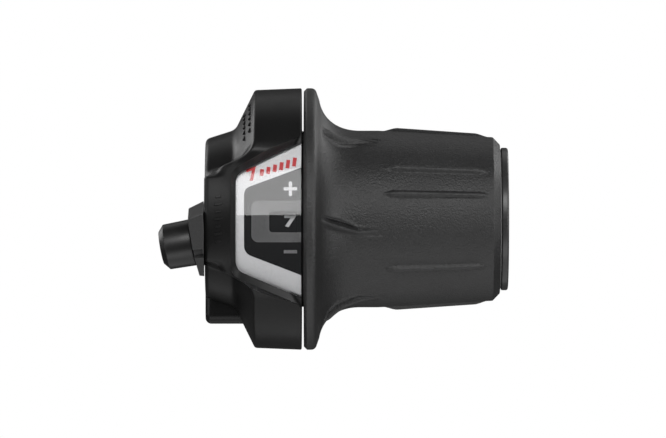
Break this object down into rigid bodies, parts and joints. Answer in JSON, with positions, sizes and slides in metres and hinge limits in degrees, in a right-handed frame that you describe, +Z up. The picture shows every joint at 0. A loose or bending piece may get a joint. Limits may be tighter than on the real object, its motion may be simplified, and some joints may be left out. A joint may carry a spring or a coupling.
{
  "type": "rotating-grip gear shifter",
  "caption": "Right-hand rotating-grip bicycle gear shifter with gear window, flared rubber twist sleeve, bar clamp and cable adjusting barrel.",
  "frame": {"origin": "on the handlebar axis, at the inboard end face of the housing", "axes": "+X along the handlebar towards its open end, -Y towards the rider, +Z up"},
  "size_m": [0.0712, 0.0536, 0.0536],
  "materials": {
    "housing_plastic": "satin moulded black",
    "structure_plastic": "moulded dark",
    "grip_rubber": "fine-grained matt",
    "lens_clear": "clear gloss",
    "panel_print": "printed",
    "dial_plastic": "black with white figures",
    "spool_plastic": "natural nylon",
    "steel": "zinc plated",
    "steel_dark": "black oxide",
    "barrel_plastic": "satin moulded black",
    "plug_rubber": "matt"
  },
  "bodies": {
    "shifter_body": {"bracket_base": "structure_plastic", "housing_cover": "housing_plastic", "window_lens": "lens_clear", "indicator_panel": "panel_print", "clamp_band": "steel", "clamp_bolt": "steel_dark", "bolt_washer": "steel", "clamp_nut": "steel", "cover_screws": "steel_dark", "cable_guide": "structure_plastic", "barrel_insert": "housing_plastic", "detent_spring": "steel", "detent_cap": "structure_plastic", "cable_port_plug": "plug_rubber", "inner_washer": "spool_plastic", "end_washer": "spool_plastic", "end_ring": "housing_plastic"},
    "rotor": {"rotor_tube": "structure_plastic", "grip_rubber": "grip_rubber", "cable_spool": "spool_plastic", "indicator_dial": "dial_plastic", "detent_ring": "spool_plastic"},
    "ball": {"detent_ball": "steel"},
    "click_ring": {"barrel_click_ring": "steel"},
    "barrel": {"adjusting_barrel": "barrel_plastic"}
  },
  "joints": [
    {"name": "grip_twist", "type": "hinge", "parent": "shifter_body", "child": "rotor", "pos_m": [0.04, 0, 0], "axis": [1, 0, 0], "range_deg": [0, 66]},
    {"name": "ball_lift", "type": "slide", "parent": "shifter_body", "child": "ball", "axis": [0, 0, 1], "range_m": [-0.0006, 0], "deforming": ["detent_spring"]},
    {"name": "barrel_turn", "type": "hinge", "parent": "shifter_body", "child": "click_ring", "pos_m": [0, -0.017, -0.0043], "axis": [-0.9817, 0.0698, -0.1771], "range_deg": [0, 1080]},
    {"name": "barrel_travel", "type": "slide", "parent": "click_ring", "child": "barrel", "axis": [-0.9817, 0.0698, -0.1771], "range_m": [0, 0.0024]}
  ],
  "couplings": [
    {"joint": "barrel_turn", "follows": "barrel_travel", "rad_per_m": 7854}
  ]
}
